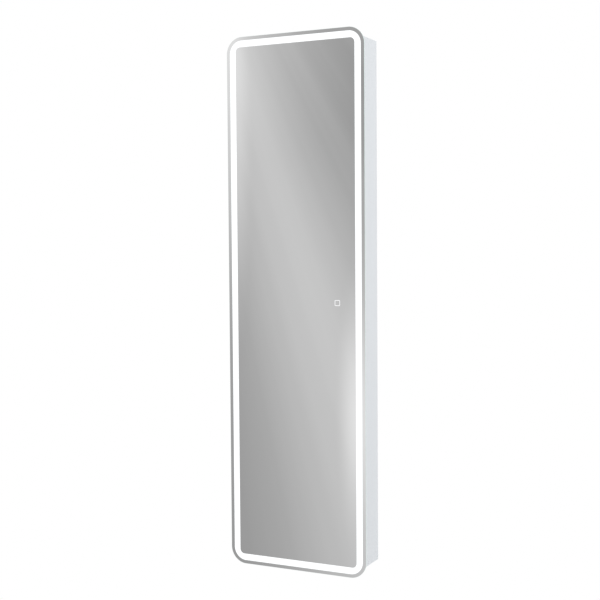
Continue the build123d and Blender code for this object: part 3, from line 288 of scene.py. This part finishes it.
dress(brass, "terminal_screws")

# Mains inlet and the inner leads
# A grey nylon gland through the top panel with its locknut below, soft rubber bushes where a lead
# passes an edge, and PVC-covered leads.
grey_nylon = finish(
    "grey_nylon", light=(0.44, 0.45, 0.46), dark=(0.36, 0.37, 0.38),
    roughness=0.45, spread=0.06, fine=1700, broad=40, depth=0.00003,
)
dress(grey_nylon, "cable_gland", "gland_locknut")
rubber = finish(
    "rubber", light=(0.055, 0.055, 0.058), dark=(0.035, 0.035, 0.037),
    roughness=0.62, spread=0.09, fine=2100, broad=60, depth=0.00003,
)
dress(rubber, "lead_grommet_body", "lead_grommet_door")
white_cable = finish(
    "white_cable", light=(0.74, 0.74, 0.73), dark=(0.66, 0.66, 0.65),
    roughness=0.38, spread=0.06, fine=1800, broad=30, depth=0.00001,
)
dress(white_cable, "mains_inner_lead", "sensor_lead", "strip_links", "strip_feed_lead")

# Hinges
# Four barrel hinges of plated steel between the left side panel and the frame of the door. Each turns
# on one pin, and three countersunk screws hold each leaf.
dress(nickel, "hinge_body_leaves", "hinge_door_leaves", "hinge_pins")
dress(plated_steel, "hinge_body_screws", "hinge_door_screws")

# Magnetic catches, strike plates and bump pads
# White plastic housings with a nickel-plated magnet, opposite bare steel plates on the door, and soft
# clear dots on the side panel's front edge that the door closes on.
dress(moulded_white, "catch_housings")
dress(nickel, "catch_magnets")
rolled_steel = finish(
    "rolled_steel", light=(0.60, 0.61, 0.62), dark=(0.46, 0.47, 0.48),
    roughness=0.33, spread=0.09, fine=1500, broad=30, depth=0.00001,
    stretch=(1, 1, 0.05),
)
adjust(rolled_steel, "Metallic", 1.0)
dress(rolled_steel, "strike_plates")
dress(plated_steel, "catch_screws", "strike_screws")
soft_clear = finish(
    "soft_clear", light=(0.80, 0.82, 0.82), dark=(0.72, 0.74, 0.74),
    roughness=0.28, spread=0.06, fine=900, broad=80, depth=0.00001,
)
adjust(soft_clear, "Subsurface Weight", 0.3)
dress(soft_clear, "bump_pads")

# Frame of the door
# Extruded aluminium channel, satin anodised and so finely drawn along its length. Cast corner pieces
# of the same section join the four lengths, and screws hold them to the door board.
drawn = 0.03
aluminium_up = finish(
    "anodised_upright", light=(0.78, 0.785, 0.80), dark=(0.66, 0.665, 0.68),
    roughness=0.34, spread=0.06, fine=2200, broad=160, depth=0.000012,
    stretch=(1, 1, drawn),
)
aluminium_across = finish(
    "anodised_level", light=(0.78, 0.785, 0.80), dark=(0.66, 0.665, 0.68),
    roughness=0.34, spread=0.06, fine=2200, broad=160, depth=0.000012,
    stretch=(drawn, 1, 1),
)
cast_aluminium = finish(
    "cast_aluminium", light=(0.74, 0.745, 0.76), dark=(0.64, 0.645, 0.66),
    roughness=0.4, spread=0.07, fine=1500, broad=60, depth=0.00002,
)
for metal in (aluminium_up, aluminium_across, cast_aluminium):
    adjust(metal, "Metallic", 1.0)
dress(aluminium_up, "door_stile_left", "door_stile_right")
dress(aluminium_across, "door_rail_top", "door_rail_bottom")
dress(cast_aluminium, "door_corners")
dress(plated_steel, "frame_screws")

# Light of the band
# Strips with a yellow-faced light every 25 mm stand on the channel's web, under a ring of opal acrylic
# that evens them out.
strip_board = finish(
    "strip_board", light=(0.80, 0.80, 0.78), dark=(0.72, 0.72, 0.70),
    roughness=0.4, spread=0.06, fine=1700, broad=50, depth=0.00001,
)
strip_front_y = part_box("led_strip_left")[0].y
light_height = 0.0007
zone(
    strip_board, "Y", start=strip_front_y - light_height, end=strip_front_y + light_height,
    light=(0.80, 0.66, 0.16), dark=(0.74, 0.56, 0.09),
)
dress(strip_board, "led_strip_left", "led_strip_right", "led_strip_top", "led_strip_bottom")
opal = finish(
    "opal_acrylic", light=(0.86, 0.86, 0.86), dark=(0.82, 0.82, 0.82),
    roughness=0.35, spread=0.05, fine=800, broad=12, depth=0.00001,
)
adjust(opal, "Subsurface Weight", 0.4)
adjust(opal, "Emission Color", (1.0, 1.0, 1.0, 1))
adjust(opal, "Emission Strength", 0.5)
dress(opal, "light_diffuser")

# Door board, its tape and the touch switch
# A white-faced board inside the frame carries the mirror on foam tape. The touch switch sits in a
# pocket behind the glass, and its lead lies in a groove.
door_board_face = finish(
    "door_melamine", light=(0.765, 0.78, 0.80), dark=(0.752, 0.767, 0.788),
    roughness=0.44, spread=0.05, fine=850, broad=5, depth=0.00003,
)
dress(door_board_face, "door_board")
foam = finish(
    "foam_tape", light=(0.23, 0.23, 0.225), dark=(0.17, 0.17, 0.166),
    roughness=0.85, spread=0.06, fine=1200, broad=120, depth=0.0001,
)
dress(foam, "bonding_tape")
green_board = finish(
    "circuit_board", light=(0.05, 0.20, 0.10), dark=(0.03, 0.14, 0.07),
    roughness=0.35, spread=0.07, fine=900, broad=110, depth=0.00002,
)
dress(green_board, "touch_sensor")
dress(moulded_white, "lead_connector")

# Mirror
# One pane of 4 mm float glass with a polished edge, silvered on the back. A ring near its edge is left
# unsilvered and frosted, and the light shines through it. Foam tape holds the pane to the door board.
hair = 1e-7
straight_enough = 0.999


def start_block(name, low, high):
    """A block between two corners, alone in the selection and with its place in its mesh."""
    bpy.ops.object.select_all(action="DESELECT")
    bpy.ops.mesh.primitive_cube_add(size=1, location=[(a + b) / 2 for a, b in zip(low, high)])
    piece = bpy.context.object
    piece.name = name
    piece.data.name = name
    piece.scale = [b - a for a, b in zip(low, high)]
    bpy.ops.object.transform_apply(location=True, rotation=False, scale=True)
    return piece


def choose(piece, kind, test):
    """In edit mode, selects the faces or edges that pass a test, and nothing else."""
    bpy.ops.mesh.select_mode(type=kind)
    bpy.ops.mesh.select_all(action="DESELECT")
    shape = bmesh.from_edit_mesh(piece.data)
    for part in shape.faces if kind == "FACE" else shape.edges:
        if test(part):
            part.select_set(True)
    shape.select_flush_mode()
    bmesh.update_edit_mesh(piece.data)


def along_depth(edge):
    """True for an edge that runs straight from front to back."""
    first, second = (corner.co for corner in edge.verts)
    return abs(first.x - second.x) + abs(first.z - second.z) < hair


def is_front(face):
    """True for a face that looks straight out of the front."""
    return face.normal.y < -straight_enough


def is_back(face):
    """True for a face that looks straight to the wall."""
    return face.normal.y > straight_enough


def round_corners(piece, radius, steps):
    """Rounds the four edges of a new block that run from front to back."""
    choose(piece, "EDGE", along_depth)
    bpy.ops.mesh.bevel(offset=radius, offset_type="OFFSET", segments=steps, affect="EDGES")


def close_gap(piece, smooth_under):
    """Leaves edit mode with the open edges bridged, the faces outwards and soft bends smoothed."""
    choose(piece, "EDGE", lambda edge: edge.is_boundary)
    bpy.ops.mesh.bridge_edge_loops()
    bpy.ops.mesh.select_all(action="SELECT")
    bpy.ops.mesh.normals_make_consistent(inside=False)
    bpy.ops.object.mode_set(mode="OBJECT")
    bpy.ops.object.shade_smooth_by_angle(angle=smooth_under)


glass_low, glass_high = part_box("mirror_glass")
face_y = glass_low.y
corner = 0.050
corner_steps = 28
polish = 0.0005
polish_steps = 2
band_inset = 0.0105
band_width = 0.020
band_inner_radius = 0.014
etch = 0.0003
pane = start_block("mirror_pane", glass_low, glass_high)
bpy.ops.object.mode_set(mode="EDIT")
round_corners(pane, corner, corner_steps)
choose(pane, "FACE", lambda face: is_front(face) or is_back(face))
bpy.ops.mesh.bevel(offset=polish, offset_type="OFFSET", segments=polish_steps, affect="EDGES")
choose(pane, "FACE", is_front)
bpy.ops.mesh.inset(thickness=band_inset - polish, depth=0)
bpy.ops.mesh.extrude_region_move(TRANSFORM_OT_translate={"value": (0, etch, 0)})
bpy.ops.mesh.delete(type="FACE")
bpy.ops.object.mode_set(mode="OBJECT")

field_inset = band_inset + band_width
field = start_block(
    "mirror_field",
    (glass_low.x + field_inset, face_y, glass_low.z + field_inset),
    (glass_high.x - field_inset, face_y + etch, glass_high.z - field_inset),
)
bpy.ops.object.mode_set(mode="EDIT")
round_corners(field, band_inner_radius, corner_steps)
choose(field, "FACE", is_back)
bpy.ops.mesh.delete(type="ONLY_FACE")
bpy.ops.object.mode_set(mode="OBJECT")
pane.select_set(True)
bpy.context.view_layer.objects.active = pane
bpy.ops.object.join()
bpy.ops.object.mode_set(mode="EDIT")
close_gap(pane, smooth_under=radians(15))

silvered = finish(
    "silvered_glass", light=(0.932, 0.932, 0.932), dark=(0.924, 0.924, 0.925),
    roughness=0.012, spread=0.006, fine=200, broad=3, depth=0.0000001,
)
adjust(silvered, "Metallic", 1.0)
cool_white = (0.97, 0.985, 1.0, 1)
frosted = finish(
    "frosted_band", light=(0.40, 0.40, 0.40), dark=(0.36, 0.36, 0.36),
    roughness=0.55, spread=0.05, fine=2600, broad=60, depth=0.00002,
)
adjust(frosted, "Emission Color", cool_white)
adjust(frosted, "Emission Strength", 0.72)
polished_edge = finish(
    "polished_edge", light=(0.66, 0.75, 0.73), dark=(0.56, 0.66, 0.64),
    roughness=0.12, spread=0.05, fine=1800, broad=40, depth=0.00001,
)
adjust(polished_edge, "Coat Weight", 0.6)
backing_paint = finish(
    "backing_paint", light=(0.34, 0.35, 0.36), dark=(0.29, 0.30, 0.31),
    roughness=0.5, spread=0.08, fine=900, broad=12, depth=0.00003,
)
for material in (silvered, frosted, polished_edge, backing_paint):
    pane.data.materials.append(material)
for face in pane.data.polygons:
    if is_front(face):
        face.material_index = 1 if face.center.y > face_y + etch / 2 else 0
    else:
        face.material_index = 3 if is_back(face) else 2


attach(pane, "door")
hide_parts("mirror_glass")

# Touch mark
# A small square outline with rounded corners, etched into the silvering in front of the switch.
# It is lit from behind more weakly than the band.
sensor_low, sensor_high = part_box("touch_sensor")
mark_x = (sensor_low.x + sensor_high.x) / 2
mark_z = (sensor_low.z + sensor_high.z) / 2
mark_side = 0.017
mark_line = 0.0018
mark_round = 0.0025
mark_steps = 8
mark_proud = 0.00002
mark = start_block(
    "touch_mark",
    (mark_x - mark_side / 2, face_y - mark_proud, mark_z - mark_side / 2),
    (mark_x + mark_side / 2, face_y + etch, mark_z + mark_side / 2),
)
bpy.ops.object.mode_set(mode="EDIT")
round_corners(mark, mark_round, mark_steps)
choose(mark, "FACE", lambda face: is_front(face) or is_back(face))
bpy.ops.mesh.inset(thickness=mark_line, depth=0, use_individual=True)
bpy.ops.mesh.delete(type="ONLY_FACE")
close_gap(mark, smooth_under=radians(25))
mark_light = finish(
    "touch_mark_light", light=(0.42, 0.42, 0.42), dark=(0.38, 0.38, 0.38),
    roughness=0.5, spread=0.05, fine=2600, broad=80, depth=0.00001,
)
adjust(mark_light, "Emission Color", cool_white)
adjust(mark_light, "Emission Strength", 0.6)
mark.data.materials.append(mark_light)
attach(mark, "door")

# Lead into the door
# A round white two-core lead, clipped inside the service compartment. It comes out through the cover,
# hangs in a loop and goes into the back of the door, so that the loop opens as the door swings.
lead_radius = 0.0015
lead_route = [
    (-0.075, -0.056, 0.684),
    (-0.1185, -0.056, 0.684),
    (-0.146, -0.062, 0.694),
    (-0.146, -0.10475, 0.694),
    (-0.146, -0.10475, 0.644),
    (-0.176, -0.10475, 0.644),
    (-0.176, -0.10475, 0.694),
    (-0.176, -0.132, 0.694),
]
lead_line = bpy.data.curves.new("door_lead_line", "CURVE")
lead_line.dimensions = "3D"
lead_line.bevel_depth = lead_radius
lead_line.bevel_resolution = 5
lead_line.use_fill_caps = True
run = lead_line.splines.new("NURBS")
run.points.add(len(lead_route) - 1)
for point, place in zip(run.points, lead_route):
    point.co = (*place, 1)
run.order_u = 3
run.use_endpoint_u = True
run.resolution_u = 14
lead = bpy.data.objects.new("door_lead_cable", lead_line)
bpy.context.scene.collection.objects.link(lead)
bpy.ops.object.select_all(action="DESELECT")
lead.select_set(True)
bpy.context.view_layer.objects.active = lead
bpy.ops.object.convert(target="MESH")
lead = bpy.context.object
lead.data.materials.clear()
lead.data.materials.append(white_cable)
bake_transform(lead)
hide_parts("door_lead")

# Studio
# A plain pale floor that fades to white, a white surround, and a wide grey card in front that only
# gloss and mirrors see. The card carries soft diagonal streaks and two pools of light.
eye = Vector((1.5074, -3.1584, 0.1945))
yaw = radians(-26.337)
pitch = radians(-3.076)
roll = radians(-0.399)
focal_pixels = 1137.7
picture_pixels = 600

floor_z = -2.1
floor_radius = 14
floor_sides = 96
fade_start = 2.2
fade_end = 4.0
bpy.ops.object.select_all(action="DESELECT")
bpy.ops.mesh.primitive_circle_add(
    vertices=floor_sides, radius=floor_radius, fill_type="NGON", location=(0, 0, floor_z)
)
floor = bpy.context.object
floor.name = "studio_floor"
bpy.ops.object.transform_apply(location=True, rotation=False, scale=False)
pale_floor = finish(
    "pale_floor", light=(0.86, 0.86, 0.86), dark=(0.83, 0.83, 0.83),
    roughness=0.7, spread=0.05, fine=60, broad=1.5, depth=0.0002,
)
nodes = pale_floor.node_tree.nodes
join = pale_floor.node_tree.links.new
reach = nodes.new("ShaderNodeVectorMath")
reach.operation = "LENGTH"
fade = nodes.new("ShaderNodeMapRange")
fade.inputs["From Min"].default_value = fade_start
fade.inputs["From Max"].default_value = fade_end
white_light = nodes.new("ShaderNodeEmission")
white_light.inputs["Color"].default_value = (1, 1, 1, 1)
either = nodes.new("ShaderNodeMixShader")
join(nodes["place"].outputs["Object"], reach.inputs[0])
join(reach.outputs["Value"], fade.inputs["Value"])
join(fade.outputs["Result"], either.inputs[0])
join(nodes["Principled BSDF"].outputs[0], either.inputs[1])
join(white_light.outputs[0], either.inputs[2])
join(either.outputs[0], nodes["Material Output"].inputs["Surface"])
floor.data.materials.append(pale_floor)

card_y = eye.y
card_thickness = 0.01
card_half_width = 7
card_half_height = 4
card = start_block(
    "streak_card",
    (-card_half_width, card_y - card_thickness, -card_half_height),
    (card_half_width, card_y, card_half_height),
)
card.visible_camera = False
card.visible_diffuse = False
card.visible_transmission = False
card.visible_shadow = False
streak = bpy.data.materials.new("streak_of_light")
streak.use_nodes = True
nodes = streak.node_tree.nodes
join = streak.node_tree.links.new
nodes.remove(nodes["Principled BSDF"])


def math_node(operation, first, second=None, third=None):
    """A Math node in the card's material, fed by sockets or set to numbers."""
    made = nodes.new("ShaderNodeMath")
    made.operation = operation
    for socket, value in zip(made.inputs, (first, second, third)):
        if isinstance(value, (int, float)):
            socket.default_value = value
        elif value is not None:
            join(value, socket)
    return made.outputs[0]


def soft_step(value, start, end, low, high):
    """A smooth change from low to high while the value goes from start to end."""
    made = nodes.new("ShaderNodeMapRange")
    made.interpolation_type = "SMOOTHSTEP"
    settings = {"From Min": start, "From Max": end, "To Min": low, "To Max": high}
    for label, number in settings.items():
        made.inputs[label].default_value = number
    join(value, made.inputs["Value"])
    return made.outputs["Result"]


# The card stands as far in front of the glass as the eye, so it shows at half its size in the mirror.
where = nodes.new("ShaderNodeTexCoord")
apart = nodes.new("ShaderNodeSeparateXYZ")
join(where.outputs["Object"], apart.inputs["Vector"])
across = math_node("MULTIPLY_ADD", apart.outputs["X"], 0.5, eye.x / 2)
upward = math_node("MULTIPLY_ADD", apart.outputs["Z"], 0.5, eye.z / 2)


def pool(x, z, half_width, half_height, strength):
    """A soft oval of light at a place on the glass, as the eye sees it there."""
    aside = math_node("DIVIDE", math_node("SUBTRACT", across, x), half_width)
    above = math_node("DIVIDE", math_node("SUBTRACT", upward, z), half_height)
    square = math_node("MULTIPLY_ADD", aside, aside, math_node("MULTIPLY", above, above))
    return soft_step(math_node("SQRT", square), start=0.0, end=1.0, low=strength, high=0.0)


# The streaks fan out from a point above the glass, so their tone follows the angle round that point.
fan_x = -0.55
fan_z = 1.7
shade_tone = 0.32
streak_tone = 0.57
sideways = math_node("SUBTRACT", across, fan_x)
ray_angle = math_node("ARCTAN2", sideways, math_node("SUBTRACT", fan_z, upward))
left_flank = soft_step(ray_angle, start=0.125, end=0.36, low=shade_tone, high=streak_tone)
right_flank = soft_step(ray_angle, start=0.34, end=0.49, low=0.0, high=-0.16)
outer_shade = soft_step(ray_angle, start=0.45, end=0.655, low=0.0, high=-0.145)
top_haze = soft_step(upward, start=0.4, end=1.12, low=0.0, high=0.17)
left_pool = pool(x=-0.205, z=0.47, half_width=0.07, half_height=0.69, strength=0.145)
right_pool = pool(x=0.2, z=-0.31, half_width=0.075, half_height=0.47, strength=0.195)
lit = left_flank
for layer in (right_flank, outer_shade, top_haze, left_pool, right_pool):
    lit = math_node("ADD", lit, layer)
ray_count = 26
ray_strength = 0.034
rays = nodes.new("ShaderNodeTexNoise")
rays.noise_dimensions = "1D"
rays.inputs["Scale"].default_value = ray_count
rays.inputs["Detail"].default_value = 2.0
join(ray_angle, rays.inputs["W"])
ray_change = math_node("MULTIPLY_ADD", rays.outputs["Fac"], ray_strength, -ray_strength / 2)
lit = math_node("ADD", lit, ray_change)
# Far from the glass the card fades to the white of the surround, so that no edge of it shows.
card_white = 0.935
card_glow = 1.07
far_across = soft_step(math_node("ABSOLUTE", across), start=0.5, end=2.0, low=0.0, high=1.0)
far_upward = soft_step(math_node("ABSOLUTE", upward), start=0.95, end=1.8, low=0.0, high=1.0)
far = math_node("MAXIMUM", far_across, far_upward)
lit = math_node("MULTIPLY_ADD", math_node("SUBTRACT", card_white, lit), far, lit)
glow = nodes.new("ShaderNodeEmission")
join(lit, glow.inputs["Color"])
glow.inputs["Strength"].default_value = card_glow
join(glow.outputs[0], nodes["Material Output"].inputs["Surface"])
card.data.materials.append(streak)

world = bpy.data.worlds.new("white_surround")
world.use_nodes = True
world.node_tree.nodes["Background"].inputs["Color"].default_value = (1, 1, 1, 1)
world.node_tree.nodes["Background"].inputs["Strength"].default_value = 1.0
bpy.context.scene.world = world
bpy.context.scene.view_settings.view_transform = "Standard"

lamp_width = 2.0
lamp_height = 1.4
for name, place, aim, power in (
    ("soft_key", (-2.6, -3.2, 3.0), (0, 0, 0), 25),
    ("side_fill", (2.6, -0.6, 1.9), (0.2, 0, 0.6), 17),
):
    bpy.ops.object.light_add(type="AREA", location=place)
    lamp = bpy.context.object
    lamp.name = name
    lamp.data.shape = "RECTANGLE"
    lamp.data.size = lamp_width
    lamp.data.size_y = lamp_height
    lamp.data.energy = power
    lamp.visible_camera = False
    lamp.visible_glossy = False
    lamp.rotation_euler = (Vector(aim) - lamp.location).to_track_quat("-Z", "Y").to_euler()

forward = Vector((sin(yaw) * cos(pitch), cos(yaw) * cos(pitch), sin(pitch)))
level = Vector((cos(yaw), -sin(yaw), 0))
above = level.cross(forward)
right = cos(roll) * level + sin(roll) * above
top = -sin(roll) * level + cos(roll) * above
camera_data = bpy.data.cameras.new("eye")
camera_data.sensor_width = 36
camera_data.lens = focal_pixels / picture_pixels * camera_data.sensor_width
camera = bpy.data.objects.new("eye", camera_data)
bpy.context.scene.collection.objects.link(camera)
turn = Matrix((right, top, -forward)).transposed().to_4x4()
camera.matrix_world = Matrix.Translation(eye) @ turn
bpy.context.scene.camera = camera
